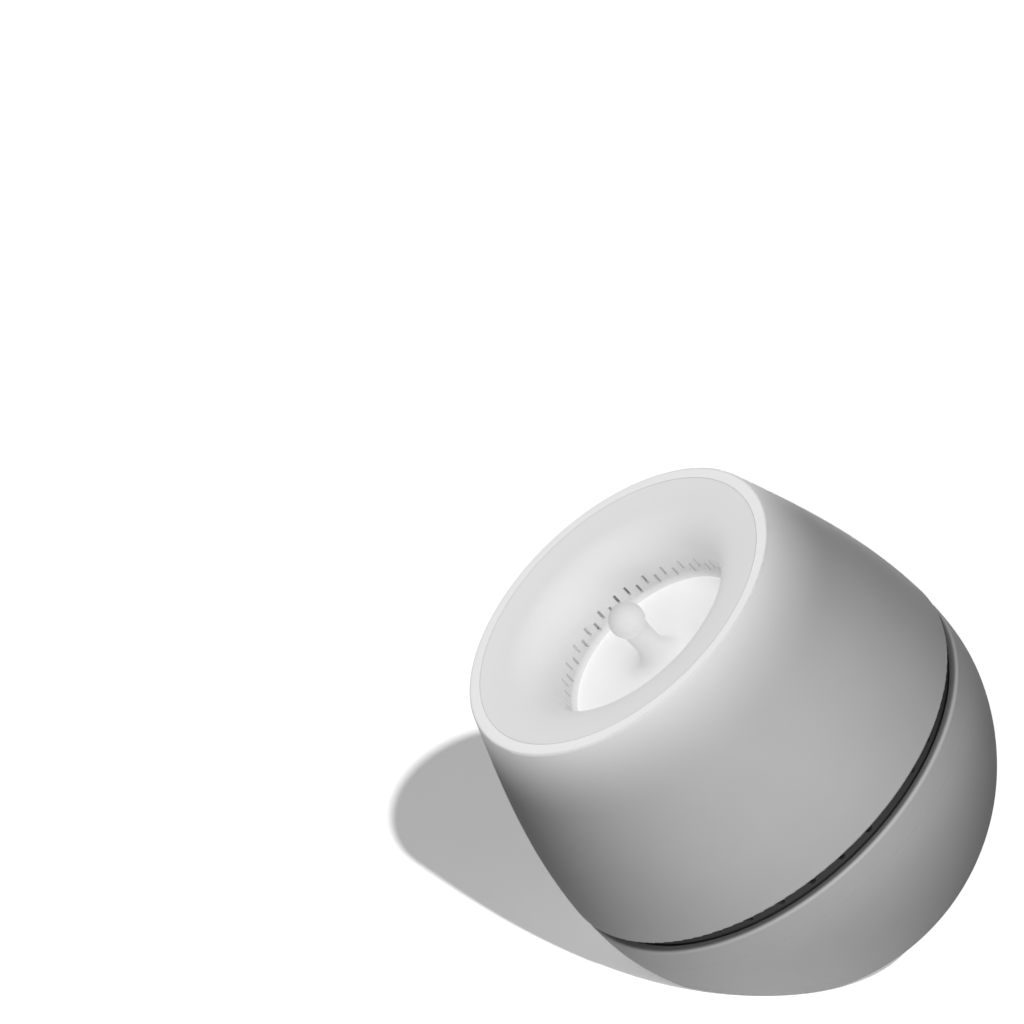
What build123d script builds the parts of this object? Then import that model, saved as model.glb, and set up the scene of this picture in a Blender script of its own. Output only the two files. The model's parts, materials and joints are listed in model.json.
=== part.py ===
from build123d import *
import os
from math import asin, cos, degrees, hypot, radians, sin, sqrt, tan

# A fan-driven white noise sound machine: a round body that leans forward on a flat foot.
# Its open dish holds a ball knob, and a groove with vent holes parts the two shells.
#
# The frame: +Z is up, the dish faces -Y, and the origin is the middle of the foot's face.
# Most pieces are drawn upright on the body's own axis and tilted into place at the end.
# Heights named here run up that axis from the middle of the bowl.

# ---------------------------------------------------------------- driving dimensions, mm
# Stance
TILT = 45.0               # degrees that the body's axis leans toward -Y
FOOT_CUT = 7.0            # flat under the bowl, above the bowl's own lowest point
PAD_PROUD = 0.4           # rubber pad below that flat

# Clearances
FIT = 0.1                 # between a piece and the piece it seats in
RUN = 0.4                 # between two pieces that turn or slide past each other
SHAFT_PLAY = 0.04         # around the shaft in its bearings

# Casing
BODY_RADIUS = 70.0        # widest point, at the upper shell's lower edge
SHELL_WALL = 2.4
LIP_INSET = 0.1           # lower shell inside the upper shell's widest point
BOWL_DEPTH = 66.2         # bowl's middle to its lowest point along the axis
BOWL_FLATTENING = 0.5     # bowl's flank inside a true ellipse
BOWL_SKEW = 0.5           # shift of that flattening toward the lip
BOWL_STEPS = 8            # stretches of the curve drawn through the bowl's outline
LIP_ROUND = 1.2
UPPER_EDGE = 9.2          # height of the upper shell's lower edge
UPPER_HEIGHT = 69.4       # lower edge to rim
SHELL_GAP = 4.5           # open groove between the shells
SWELL = 80.0              # degrees of the sine curve that the upper wall follows
UPPER_STEPS = 6           # stretches of the curve drawn through that wall
EDGE_ROUND = 0.7
RIM_RADIUS = 53.1
RIM_WIDTH = 3.5           # flat ring around the dish
DISH_LEDGE = 2.2          # ledge under the dish's edge
LEDGE_THICK = 1.8
SEAT_THICKENING = 0.4     # extra wall where the tone ring seats

# Dish with its throat
DISH_WALL = 1.6
DISH_SLOPE = 8.0          # degrees that the dish falls toward its throat
THROAT_RADIUS = 31.2
THROAT_ROUND = 10.5       # big round between dish and throat
FLOOR_DEPTH = 23.0        # rim to the dial's floor
FLOOR_LIP = 1.2           # throat's foot, inward
SLOT_COUNT = 30           # slots in each of the two rows
SLOT_LENGTH = 3.6
SLOT_WIDTH = 0.9
SLOT_FIRST = 15.7         # rim to the first row's upper end
SLOT_SHIFT = 1.8          # second row, further down
SLOT_MIDDLE = 154.8       # degrees from +X to the line that mirrors the slot pattern
SLOT_START = 3.6          # degrees from that line to the first slot

# Dial: floor, stem, ball and the shutter behind the throat
DIAL_THICK = 2.0
STEM_RADIUS = 3.95
STEM_FLARE = 8.0
BALL_RADIUS = 5.5
BALL_PROUD = 0.2          # ball above the rim's plane
SPIGOT_RADIUS = 2.0
SPIGOT_LENGTH = 5.0
SLEEVE_WALL = 1.4
SLEEVE_SUNK = 0.8         # sleeve's foot in the dial's groove
SLEEVE_FLANGE = 4.0       # flange wider than the sleeve
FLANGE_THICK = 1.4
FLANGE_DROP = 12.2        # rim to the flange's underside
WINDOW_MARGIN = 0.6       # shutter window past the slots' ends
SHUTTER_WINDOWS = 2       # side by side, over one half of the throat
SHUTTER_BAR = 10.0        # degrees of bar between them
RETAINER_THICK = 1.4
RETAINER_WIDTH = 5.6
RETAINER_SCREWS = 3
RETAINER_TURN = 90.0      # degrees from +X to the first of these screws
LUG_WALL = 1.2            # lug around each screw's head
DISH_BOSS_RADIUS = 2.2

# Tone ring, collar and swivel flange in the groove
TONE_WALL = 1.2
TONE_LIFT = 0.5           # ring above the lower shell's top face
VENT_RADIUS = 1.1
VENT_LIFT = 2.6           # vent holes above the lower shell's top face
VENT_PITCHES = 38         # hole pitches in a full turn, four with a boss behind them
COLLAR_WALL = 3.2
COLLAR_SUNK = 2.7         # collar's foot below the lower shell's top face
COLLAR_WINDOW = 4.6       # degrees, one window behind each vent hole
COLLAR_WINDOW_HEIGHT = 4.2
COLLAR_NECK_LIFT = 6.5    # neck's start above the lower shell's top face
COLLAR_STEP = 1.6         # neck slimmer than the collar
TONE_LIP_THICK = 2.0
SWIVEL_THICK = 2.4
SWIVEL_WIDTH = 11.0
GLIDE_THICK = 2.2
GLIDE_WIDTH = 2.8
SHOULDER_THICK = 3.0
SHOULDER_WIDTH = 2.6

# Screws: shank, head and bosses
BOSS_RADIUS = 3.0
SCREW_RADIUS = 1.4
SCREW_LENGTH = 9.0
HEAD_RADIUS = 2.6
HEAD_HEIGHT = 1.8
SMALL_SCREW_RADIUS = 0.9
SMALL_SCREW_LENGTH = 5.5
SMALL_HEAD_RADIUS = 1.8
SMALL_HEAD_HEIGHT = 1.1
SLOT_OF_HEAD = 0.5        # driver slot in a screw head
QUARTERS = 4              # screws around the flange, and legs around the carrier

# Motor and its carrier
MOTOR_RADIUS = 18.0
MOTOR_WALL = 1.4
MOTOR_LENGTH = 34.0
MOTOR_TOP = 15.0          # height of the motor's front face
GASKET_THICK = 1.0
CUP_WALL = 2.2
CUP_PLATE = 2.0
CARRIER_SEAT = -4.0       # height of the carrier's underside
CARRIER_THICK = 2.4
CARRIER_INSET = 5.8       # carrier's edge inside the swivel flange
CARRIER_WINDOW = 58.0     # degrees of each opening between the spokes
PILLAR_INSET = 1.4        # pillars' middles inside the swivel flange
PILLAR_TURN = 45.0        # degrees from +X to the first pillar, leg and spoke
RIB_HEIGHT = 5.0
LEG_DEPTH = 4.6
LEG_OVERHANG = 1.0        # leg past the light board's edge
LEG_WIDTH = 5.0
SHAFT_RADIUS = 1.5
SHAFT_TOP = 43.0
BUSHING_RADIUS = 4.0
BUSHING_LENGTH = 3.2
END_CAP_THICK = 2.0
END_CAP_PLUG = 2.5
MAGNET_THICK = 2.3
MAGNET_LENGTH = 23.0
MAGNET_ARC = 140.0
ROTOR_GAP = 1.0
ROTOR_SLOTS = 6
SHAFT_SUNK = 1.0          # shaft's end in the end cap's floor
TERMINAL_WIDTH = 3.0
TERMINAL_THICK = 0.6
TERMINAL_LENGTH = 5.0
TERMINAL_OFFSET = 8.0
MOTOR_SCREW_CIRCLE = 10.0
MOTOR_SCREWS = 2

# Impeller and baffle
IMPELLER_BOTTOM = 30.0
IMPELLER_GAP = 1.9        # impeller's edge inside the carrier's legs
IMPELLER_PLATE = 1.6
HUB_RADIUS = 11.0
BLADE_COUNT = 17
BLADE_HEIGHT = 14.0
BLADE_THICK = 1.5
BLADE_INNER = 10.0
BLADE_SWEEP = 42.0        # degrees that a blade trails from root to tip
BLADE_BEND = 0.35         # share of that sweep in the blade's inner half
BAFFLE_HEIGHT = 23.5
BAFFLE_THICK = 1.6
BAFFLE_INSET = 1.5        # baffle's edge inside the impeller's
BAFFLE_RIM = 13.0         # hole's edge inside the baffle's, before the shift
BAFFLE_SHIFT = 8.0        # hole off the axis, so that the baffle is a crescent
BAFFLE_POST_INSET = 9.0   # posts' middles inside the baffle's edge
BAFFLE_POSTS = 2
BAFFLE_POST_RADIUS = 2.8

# Light ring
LED_BOARD_GAP = 2.5       # board outside the dial
LED_BOARD_INSET = 6.8     # board's edge inside the swivel flange
BOARD_THICK = 1.6
LED_COUNT = 10
LED_INSET = 2.8           # lamps' middles outside the board's inner edge
LED_SIZE = 3.0
LED_HEIGHT = 1.4
PLUG_WIDTH = 8.0
PLUG_DEPTH = 5.0
PLUG_HEIGHT = 5.0
LED_PLUG_ANGLE = 110.0
LED_PLUG_INSET = 3.5      # plug's middle outside the board's inner edge
LIGHT_GAP = 0.9           # lights below the retainer's screws

# Control board at the rear; places are sideways, rearward and up from the bowl's middle
BOARD_CLEARANCE = 2.0     # board's lower corners in front of the bowl's wall
BOARD_WIDTH = 44.0
BOARD_HEIGHT = 46.0
BOARD_MIDDLE = -9.0
POST_RADIUS = 3.0
POST_INSET = 4.0
BUTTON_RADIUS = 5.0
BUTTON_SPREAD = 9.5       # each button's middle from the middle plane
BUTTON_LEVEL = 6.0
BUTTON_PROUD = 0.9
BUTTON_TRAVEL = 1.0
BUTTON_FLANGE = 1.2
BUTTON_RIM = 0.8          # flange past its guide
WELL_WALL = 1.6
WELL_PROUD = 1.4          # each button's guide in front of the bowl's wall
SWITCH_SIZE = 6.0
SWITCH_HEIGHT = 3.6
PLUNGER_RADIUS = 1.7
PLUNGER_SUNK = 0.6
JACK_LEVEL = -22.0
JACK_SIZE = 9.0
JACK_BODY_LENGTH = 7.0
JACK_BARREL_RADIUS = 4.0
JACK_RECESS = 2.2         # barrel's end below the bowl's surface
JACK_BORE = 2.75
JACK_PIN_RADIUS = 1.0
JACK_WALL = 2.4
JACK_GUIDE_GAP = 0.7      # guide behind the jack's body
JACK_BACK_WALL = 2.0
CHIP_SIZE = 7.0
CHIP_HEIGHT = 1.2
CHIP_LEVEL = -4.0
CHIP_SPREAD = 8.0
CAPACITOR_RADIUS = 4.0
CAPACITOR_LENGTH = 10.0
CAPACITOR_SIDE = -13.0
CAPACITOR_LEVEL = -24.0
PLUG_LEVEL = -16.0
PLUG_SPREAD = 10.0

# Foot and ballast
PAD_RADIUS = 22.0
PAD_THICK = 1.6
FOOT_WALL = 4.0
BALLAST_GAP = 0.9         # ballast behind the front flange boss
BALLAST_THICK = 7.0
BALLAST_SCREW_INSET = 9.0 # screws' middles inside the ballast's edge
BALLAST_SCREWS = 2
BALLAST_BACK = 3.0        # ballast behind the foot's middle

# Leads
LEAD_RADIUS = 0.7
LEAD_BEND = 4.2
LEAD_APART = 2.0          # each lead of a pair from its plug's middle
LEAD_STRAIGHT = 9.0       # straight run out of a plug or off a terminal
LEAD_INSET = 1.7          # light leads rise this far inside the swivel flange
LEAD_RISE = -8.0          # height where they turn up along the axis
LEAD_PASS = (-14.0, 26.0, -16.0)   # the bend before that
LEAD_SLANT = 6.0          # height over which they lean inward to their plug
LEAD_ENTRY = 3.0          # straight run up into it

# ---------------------------------------------------------------- worked out from the above
lip_height = UPPER_EDGE - SHELL_GAP
rim_height = UPPER_EDGE + UPPER_HEIGHT
bowl_radius = BODY_RADIUS - LIP_INSET
lean = radians(TILT)
bowl_low = hypot((bowl_radius - BOWL_FLATTENING) * sin(lean), (BOWL_DEPTH - BOWL_FLATTENING) * cos(lean))

foot_level = PAD_PROUD
centre_height = foot_level + bowl_low - FOOT_CUT
tilted = Pos(0, 0, centre_height) * Rot(X=TILT)
level = Pos(0, 0, centre_height)

seat_radius = BODY_RADIUS - SHELL_WALL - SEAT_THICKENING

tone_outer = seat_radius - FIT
tone_inner = tone_outer - TONE_WALL
tone_bottom = lip_height + TONE_LIFT
collar_outer = tone_inner - RUN
collar_inner = collar_outer - COLLAR_WALL
collar_bottom = lip_height - COLLAR_SUNK
neck_outer = collar_outer - COLLAR_STEP
neck_bottom = lip_height + COLLAR_NECK_LIFT
tone_lip_inner = neck_outer + RUN
tone_top = neck_bottom + RUN + TONE_LIP_THICK
swivel_bottom = tone_top + RUN
swivel_top = swivel_bottom + SWIVEL_THICK
swivel_outer = seat_radius - RUN
swivel_inner = swivel_outer - SWIVEL_WIDTH
flange_screw_circle = collar_inner - FIT - BOSS_RADIUS

dish_edge = RIM_RADIUS - RIM_WIDTH - FIT
throat_centre = THROAT_RADIUS + THROAT_ROUND
throat_outer = THROAT_RADIUS + DISH_WALL
floor_height = rim_height - FLOOR_DEPTH
throat_bottom = floor_height + RUN
sleeve_inner = throat_outer + RUN
sleeve_outer = sleeve_inner + SLEEVE_WALL
dial_radius = sleeve_outer + SLEEVE_WALL
ball_height = rim_height + BALL_PROUD - BALL_RADIUS
ball_seat = ball_height - (BALL_RADIUS**2 - STEM_RADIUS**2) ** 0.5

retainer_top = rim_height - FLANGE_DROP
retainer_bottom = retainer_top - RETAINER_THICK
retainer_inner = sleeve_outer + RUN
dish_boss_circle = sleeve_outer + SLEEVE_FLANGE + RUN + DISH_BOSS_RADIUS

carrier_radius = swivel_inner - CARRIER_INSET
pillar_circle = swivel_inner - PILLAR_INSET
lead_circle = swivel_inner - LEAD_INSET
led_board_inner = dial_radius + LED_BOARD_GAP
led_board_outer = swivel_inner - LED_BOARD_INSET
led_top = retainer_bottom - SMALL_HEAD_HEIGHT - LIGHT_GAP - LED_HEIGHT
led_bottom = led_top - BOARD_THICK

motor_bottom = MOTOR_TOP - MOTOR_LENGTH
motor_middle = MOTOR_TOP - MOTOR_LENGTH / 2
motor_gasket_top = MOTOR_TOP + GASKET_THICK
shaft_bottom = motor_bottom - SHAFT_SUNK
leg_circle = led_board_outer + LEG_OVERHANG - LEG_DEPTH / 2
impeller_radius = leg_circle - LEG_DEPTH / 2 - IMPELLER_GAP
baffle_radius = impeller_radius - BAFFLE_INSET
baffle_post_circle = baffle_radius - BAFFLE_POST_INSET


def wall_behind(x, z, inset=0.0):
    """How far behind the bowl's middle its wall is, x to the side and z above that middle."""
    across = bowl_radius - BOWL_FLATTENING - inset
    deep = BOWL_DEPTH - BOWL_FLATTENING - inset
    square = (cos(lean) / across) ** 2 + (sin(lean) / deep) ** 2
    cross = z * sin(lean) * cos(lean) * (1 / across**2 - 1 / deep**2)
    rest = (x / across) ** 2 + (z * sin(lean) / across) ** 2 + (z * cos(lean) / deep) ** 2 - 1
    return (sqrt(cross**2 - square * rest) - cross) / square


board_low = BOARD_MIDDLE - BOARD_HEIGHT / 2
board_face = wall_behind(BOARD_WIDTH / 2, board_low, SHELL_WALL) - BOARD_CLEARANCE
board_front = board_face - BOARD_THICK
switch_face = board_face + SWITCH_HEIGHT
button_hole = BUTTON_RADIUS + RUN
well_radius = button_hole + WELL_WALL
well_face = wall_behind(BUTTON_SPREAD + well_radius, BUTTON_LEVEL + well_radius, SHELL_WALL) - WELL_PROUD
button_back = well_face - RUN - BUTTON_FLANGE
plunger_end = (switch_face + button_back) / 2
jack_length = wall_behind(0, JACK_LEVEL) - JACK_RECESS - board_face

floor_inside = foot_level + FOOT_WALL
floor_depth = centre_height - floor_inside
ballast_top = floor_inside + BALLAST_THICK
front_boss = (flange_screw_circle - BOSS_RADIUS) / cos(lean) - floor_depth * tan(lean)
ballast_radius = front_boss + BALLAST_BACK - BALLAST_GAP
LONG = 3 * BODY_RADIUS    # longer than anything it cuts


# ---------------------------------------------------------------- shapes used over and over
def disc(radius, bottom, top):
    standing = (Align.CENTER, Align.CENTER, Align.MIN)
    return Pos(0, 0, bottom) * Cylinder(radius, top - bottom, align=standing)


def ring(outer, inner, bottom, top):
    return disc(outer, bottom, top) - disc(inner, bottom, top)


def block(width, depth, bottom, top):
    standing = (Align.CENTER, Align.CENTER, Align.MIN)
    return Pos(0, 0, bottom) * Box(width, depth, top - bottom, align=standing)


def turned(*edges):
    return revolve(Plane.XZ * make_face(edges), Axis.Z)


def turned_outline(*points):
    return turned(Polyline(*points, close=True))


def sector(outer, inner, bottom, top, start, sweep):
    """Part of a ring, from the angle start over the angle sweep."""
    outline = Polyline((inner, bottom), (outer, bottom), (outer, top), (inner, top), close=True)
    return Rot(Z=start) * revolve(Plane.XZ * make_face(outline), Axis.Z, revolution_arc=sweep)


def spots(count, radius, start=0.0):
    """Places evenly spaced around the axis."""
    return [Rot(Z=start + index * 360 / count) * Pos(radius, 0, 0) for index in range(count)]


def rearward(x, y, z):
    """A place on the rear wall's side: x to the side, y behind and z above the bowl's middle."""
    return level * Pos(x, y, z) * Rot(X=-90)


def screw(shank, length, head, head_height):
    """A pan-head screw whose head seats at height 0 and whose shank points down."""
    slot = block(2 * head, SLOT_OF_HEAD, head_height / 2, head_height)
    return disc(shank, -length, 0) + disc(head, 0, head_height) - slot


def large_screw():
    return screw(SCREW_RADIUS, SCREW_LENGTH, HEAD_RADIUS, HEAD_HEIGHT)


def small_screw():
    return screw(SMALL_SCREW_RADIUS, SMALL_SCREW_LENGTH, SMALL_HEAD_RADIUS, SMALL_HEAD_HEIGHT)


def large_pilot(top):
    return disc(SCREW_RADIUS + FIT / 2, top - SCREW_LENGTH - RUN, top)


def small_pilot(top):
    return disc(SMALL_SCREW_RADIUS + FIT / 2, top - SMALL_SCREW_LENGTH - RUN, top)


motor_screw_spots = spots(MOTOR_SCREWS, MOTOR_SCREW_CIRCLE)
pillar_spots = spots(QUARTERS, pillar_circle, PILLAR_TURN)
leg_spots = spots(QUARTERS, leg_circle, PILLAR_TURN)
baffle_spots = spots(QUARTERS, baffle_post_circle, PILLAR_TURN)[:BAFFLE_POSTS]
retainer_spots = spots(RETAINER_SCREWS, dish_boss_circle, RETAINER_TURN)
ballast_spots = [Pos(0, BALLAST_BACK, 0) * spot
                 for spot in spots(BALLAST_SCREWS, ballast_radius - BALLAST_SCREW_INSET)]


# ---------------------------------------------------------------- casing
def bowl_point(angle, inset):
    """A point of the bowl's outline, angle degrees below its widest circle."""
    turn = radians(angle)
    swell = -BOWL_FLATTENING * sin(2 * turn) ** 2 - BOWL_SKEW * sin(4 * turn) - inset
    return ((bowl_radius + swell) * cos(turn), -(BOWL_DEPTH + swell) * sin(turn))


def bowl_form(inset):
    """The bowl as a solid up to the lip, inset from its outer face."""
    start = -degrees(asin(lip_height / (BOWL_DEPTH - inset)))
    spacing = (90 - start) / BOWL_STEPS
    outline = [bowl_point(start + spacing * index, inset) for index in range(BOWL_STEPS)]
    outline[0] = (outline[0][0], lip_height)
    lowest = (0, -(BOWL_DEPTH - inset))
    flank = Spline(*outline, lowest, tangents=((0, -1), (-1, 0)))
    return turned(flank, Line(lowest, (0, lip_height)), Line((0, lip_height), outline[0]))


wall_root = bowl_form(SHELL_WALL / 2)     # posts and guides end inside the wall


def board_corners():
    side = BOARD_WIDTH / 2 - POST_INSET
    rise = BOARD_HEIGHT / 2 - POST_INSET
    return [(x, BOARD_MIDDLE + z) for x in (-side, side) for z in (-rise, rise)]


def lower_shell():
    outside = bowl_form(0)
    outside = fillet(outside.edges().group_by(Axis.Z)[-1], LIP_ROUND)
    ground = Box(LONG, LONG, LONG, align=(Align.CENTER, Align.CENTER, Align.MAX))
    hollow = tilted * bowl_form(SHELL_WALL) - Pos(0, 0, floor_inside) * ground
    shell = tilted * outside - hollow

    # a shoulder for the collar, and bosses for the swivel flange and the motor carrier
    shoulder_inner = collar_inner - RUN
    shoulder_outer = bowl_radius - SHELL_WALL / 2
    shoulder_bottom = collar_bottom - SHOULDER_THICK
    shoulder = turned_outline(
        (shoulder_inner, collar_bottom),
        (shoulder_outer, collar_bottom),
        (shoulder_outer, shoulder_bottom - SHOULDER_WIDTH),
        (shoulder_inner, shoulder_bottom),
    )
    flange_spots = spots(QUARTERS, flange_screw_circle)
    bars = [spot * disc(BOSS_RADIUS, -BOWL_DEPTH, lip_height) for spot in flange_spots]
    bars += [spot * disc(BOSS_RADIUS, -BOWL_DEPTH, CARRIER_SEAT) for spot in pillar_spots]
    rooted = [tilted * (bar & wall_root) for bar in bars + [shoulder]]
    rooted += [tilted * spot * disc(BOSS_RADIUS, 0, swivel_bottom) for spot in flange_spots]

    # posts for the control board, guides for the two buttons and for the power jack
    rear_root = tilted * wall_root
    button_spots = [rearward(side * BUTTON_SPREAD, well_face, BUTTON_LEVEL) for side in (-1, 1)]
    jack_spot = rearward(0, board_face + JACK_BODY_LENGTH + JACK_GUIDE_GAP, JACK_LEVEL)
    post_spots = [rearward(x, board_face, z) for x, z in board_corners()]
    jack_hole = JACK_BARREL_RADIUS + FIT
    guides = [spot * disc(POST_RADIUS, 0, BODY_RADIUS) for spot in post_spots]
    guides += [spot * disc(well_radius, 0, BODY_RADIUS) for spot in button_spots]
    guides += [jack_spot * disc(jack_hole + JACK_WALL, 0, BODY_RADIUS)]
    rooted += [guide & rear_root for guide in guides]
    for addition in rooted:
        shell += addition

    # the holes, the flat and the recess for the rubber pad
    holes = [tilted * spot * large_pilot(swivel_bottom) for spot in flange_spots]
    holes += [tilted * spot * large_pilot(CARRIER_SEAT) for spot in pillar_spots]
    holes += [spot * Rot(X=180) * small_pilot(0) for spot in post_spots]
    holes += [spot * disc(button_hole, 0, BODY_RADIUS) for spot in button_spots]
    holes += [jack_spot * disc(jack_hole, 0, BODY_RADIUS)]
    holes += [spot * large_pilot(ballast_top) for spot in ballast_spots]
    holes += [Pos(0, 0, foot_level) * ground, disc(PAD_RADIUS + FIT, 0, PAD_THICK)]
    for hole in holes:
        shell -= hole
    return shell


def foot_pad():
    return disc(PAD_RADIUS, 0, PAD_THICK)


def ballast():
    weight = Pos(0, BALLAST_BACK, 0) * disc(ballast_radius, floor_inside, ballast_top)
    weight = weight & (tilted * bowl_form(SHELL_WALL + FIT))
    return weight - [spot * disc(SCREW_RADIUS + FIT, 0, ballast_top) for spot in ballast_spots]


def upper_radius(height):
    swing = radians(SWELL * (rim_height - height) / UPPER_HEIGHT)
    return RIM_RADIUS + (BODY_RADIUS - RIM_RADIUS) * sin(swing) / sin(radians(SWELL))


def upper_curve(bottom, top, inset):
    spacing = (top - bottom) / UPPER_STEPS
    heights = [bottom + spacing * index for index in range(UPPER_STEPS + 1)]
    return Spline(*[(upper_radius(height) - inset, height) for height in heights])


def corner_arc(middle, start, finish):
    """A quarter round about middle, from the angle start to the angle finish."""
    places = [start, (start + finish) / 2, finish]
    turns = [radians(angle) for angle in places]
    return ThreePointArc(*[(middle[0] + EDGE_ROUND * cos(turn), middle[1] + EDGE_ROUND * sin(turn))
                           for turn in turns])


def upper_shell():
    low = UPPER_EDGE + EDGE_ROUND
    high = rim_height - EDGE_ROUND
    low_middle = (upper_radius(low) - EDGE_ROUND, low)
    high_middle = (upper_radius(high) - EDGE_ROUND, high)
    ledge_top = rim_height - DISH_WALL
    ledge_bottom = ledge_top - LEDGE_THICK
    glide_top = swivel_top + GLIDE_THICK
    outer = upper_curve(low, high, 0)
    inner = upper_curve(glide_top, ledge_bottom, SHELL_WALL)
    rim = Polyline(
        (high_middle[0], rim_height),
        (RIM_RADIUS - RIM_WIDTH, rim_height),
        (RIM_RADIUS - RIM_WIDTH, ledge_top),
        (RIM_RADIUS - RIM_WIDTH - DISH_LEDGE, ledge_top),
        (RIM_RADIUS - RIM_WIDTH - DISH_LEDGE, ledge_bottom),
        (upper_radius(ledge_bottom) - SHELL_WALL, ledge_bottom),
    )
    seat = Polyline(
        (upper_radius(glide_top) - SHELL_WALL, glide_top),
        (seat_radius - GLIDE_WIDTH, glide_top),
        (seat_radius - GLIDE_WIDTH, swivel_top),
        (seat_radius, swivel_top),
        (seat_radius, UPPER_EDGE),
        (low_middle[0], UPPER_EDGE),
    )
    return turned(corner_arc(low_middle, -90, 0), outer, corner_arc(high_middle, 0, 90),
                  rim, inner, seat)


# ---------------------------------------------------------------- groove: tone ring and collar
def vent_angles():
    """Vent holes at an even pitch, but for those that a boss would cover."""
    pitch = 360 / VENT_PITCHES
    quarter = 360 / QUARTERS
    covered = degrees(asin(BOSS_RADIUS / flange_screw_circle))
    angles = [(index + 0.5) * pitch - quarter for index in range(VENT_PITCHES)]
    return [angle for angle in angles
            if min(angle % quarter, quarter - angle % quarter) > covered]


def tone_ring():
    band = turned_outline(
        (tone_inner, tone_bottom),
        (tone_outer, tone_bottom),
        (tone_outer, tone_top),
        (tone_lip_inner, tone_top),
        (tone_lip_inner, tone_top - TONE_LIP_THICK),
        (tone_inner, tone_top - TONE_LIP_THICK),
    )
    drill = Pos(tone_inner, 0, lip_height + VENT_LIFT) * Rot(Y=90) * Cylinder(VENT_RADIUS, 4 * TONE_WALL)
    return band - [Rot(Z=angle) * drill for angle in vent_angles()]


def vent_collar():
    collar = ring(collar_outer, collar_inner, collar_bottom, neck_bottom)
    collar += ring(neck_outer, collar_inner, neck_bottom, swivel_bottom)
    window_top = tone_bottom + COLLAR_WINDOW_HEIGHT
    windows = [sector(tone_inner, collar_inner - COLLAR_WALL, tone_bottom, window_top,
                      angle - COLLAR_WINDOW / 2, COLLAR_WINDOW) for angle in vent_angles()]
    return collar - windows


def swivel_flange():
    flange = ring(swivel_outer, swivel_inner, swivel_bottom, swivel_top)
    holes = [spot * disc(SCREW_RADIUS + FIT, swivel_bottom, swivel_top)
             for spot in spots(QUARTERS, flange_screw_circle)]
    return flange - holes


# ---------------------------------------------------------------- dish and dial
def dish_funnel():
    slope = radians(DISH_SLOPE)
    inner_round = THROAT_ROUND - DISH_WALL
    start_radius = throat_centre - THROAT_ROUND * sin(slope)
    start_height = rim_height - (dish_edge - start_radius) * sin(slope) / cos(slope)
    round_height = start_height - THROAT_ROUND * cos(slope)
    half = (slope + radians(90)) / 2
    top_round = ThreePointArc(
        (start_radius, start_height),
        (throat_centre - THROAT_ROUND * sin(half), round_height + THROAT_ROUND * cos(half)),
        (THROAT_RADIUS, round_height),
    )
    under_end = (throat_centre - inner_round * sin(slope), round_height + inner_round * cos(slope))
    under_round = ThreePointArc(
        (throat_outer, round_height),
        (throat_centre - inner_round * sin(half), round_height + inner_round * cos(half)),
        under_end,
    )
    throat = Polyline(
        (THROAT_RADIUS, round_height),
        (THROAT_RADIUS, throat_bottom + FLOOR_LIP),
        (THROAT_RADIUS - FLOOR_LIP, throat_bottom),
        (throat_outer, throat_bottom),
        (throat_outer, round_height),
    )
    edge_bottom = rim_height - DISH_WALL
    edge = Polyline(
        under_end,
        (dish_edge - DISH_LEDGE - FIT, edge_bottom),
        (dish_edge, edge_bottom),
        (dish_edge, rim_height),
        (start_radius, start_height),
    )
    dish = turned(top_round, throat, under_round, edge)

    # bosses for the retainer's screws, rooted in the dish's wall
    root = start_height - DISH_WALL / 2
    pilot = disc(SMALL_SCREW_RADIUS + FIT / 2, retainer_top, retainer_top + SMALL_SCREW_LENGTH)
    dish += [spot * disc(DISH_BOSS_RADIUS, retainer_top, root) for spot in retainer_spots]
    dish -= [spot * pilot for spot in retainer_spots]

    # two staggered rows of slots, mirrored about one line
    pitch = 360 / SLOT_COUNT
    slot = Pos(throat_outer, 0, 0) * Box(4 * DISH_WALL, SLOT_WIDTH, SLOT_LENGTH)
    slots = []
    for row in (0, 1):
        middle = rim_height - SLOT_FIRST - SLOT_LENGTH / 2 - row * SLOT_SHIFT
        for side in (-1, 1):
            for index in range(SLOT_COUNT // 2):
                angle = SLOT_MIDDLE + side * (SLOT_START + (index + row / 2) * pitch)
                slots.append(Rot(Z=angle) * Pos(0, 0, middle) * slot)
    return dish - slots


def dial():
    """The dish's turning floor, with the flared stem that carries the ball."""
    stem_foot = STEM_RADIUS + STEM_FLARE
    flare_middle = (stem_foot - STEM_FLARE * cos(radians(45)),
                    floor_height + STEM_FLARE * (1 - sin(radians(45))))
    flare = ThreePointArc((stem_foot, floor_height), flare_middle,
                          (STEM_RADIUS, floor_height + STEM_FLARE))
    stem = Polyline(
        (STEM_RADIUS, floor_height + STEM_FLARE),
        (STEM_RADIUS, ball_seat),
        (SPIGOT_RADIUS, ball_seat),
        (SPIGOT_RADIUS, ball_seat + SPIGOT_LENGTH),
        (0, ball_seat + SPIGOT_LENGTH),
        (0, floor_height - DIAL_THICK),
        (dial_radius, floor_height - DIAL_THICK),
        (dial_radius, floor_height),
        (stem_foot, floor_height),
    )
    groove = ring(sleeve_outer + FIT, sleeve_inner - FIT, floor_height - SLEEVE_SUNK, floor_height)
    return turned(flare, stem) - groove


def ball_knob():
    socket = disc(SPIGOT_RADIUS + FIT / 2, ball_seat - BALL_RADIUS, ball_seat + SPIGOT_LENGTH)
    return Pos(0, 0, ball_height) * Sphere(BALL_RADIUS) - disc(BALL_RADIUS, 0, ball_seat) - socket


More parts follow.
